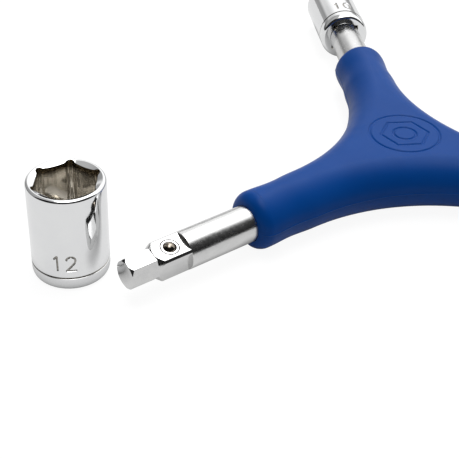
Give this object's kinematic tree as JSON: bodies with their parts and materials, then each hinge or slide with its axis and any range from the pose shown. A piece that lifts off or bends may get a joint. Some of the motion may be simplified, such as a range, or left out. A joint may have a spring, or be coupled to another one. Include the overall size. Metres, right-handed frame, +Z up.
{
  "type": "y wrench",
  "caption": "Y-shaped hand wrench with fixed hexagon sockets on its arms and a square drive with a ball detent and a hexagon key tip, its removable hexagon socket standing beside it.",
  "frame": {"origin": "centre of the handle's hub, on the surface that the tool lies on", "axes": "+X from the hub along the drive arm, +Z up"},
  "size_m": [0.135, 0.1523, 0.0218],
  "materials": {
    "blue_moulding": "satin moulded plastic",
    "satin_steel": "satin plated steel",
    "chrome": "polished chrome",
    "ball_steel": "polished bearing steel",
    "spring_steel": "drawn wire"
  },
  "bodies": {
    "wrench": {"handle": "blue_moulding", "drive_shaft": "satin_steel", "detent_spring": "spring_steel", "shaft_10mm": "satin_steel", "socket_10mm": "chrome", "shaft_8mm": "satin_steel", "socket_8mm": "chrome"},
    "ball": {"detent_ball": "ball_steel"},
    "loose_socket": {"socket_12mm": "chrome"}
  },
  "joints": [
    {"name": "ball_press", "type": "slide", "parent": "wrench", "child": "ball", "axis": [0, 0.2419, 0.9703], "range_m": [-0.0008, 0], "stiffness_N_per_m": 1000, "deforming": ["detent_spring"]},
    {"name": "socket_lift", "type": "slide", "parent": "wrench", "child": "loose_socket", "axis": [0, 0, 1], "range_m": [0, 0.04]}
  ]
}
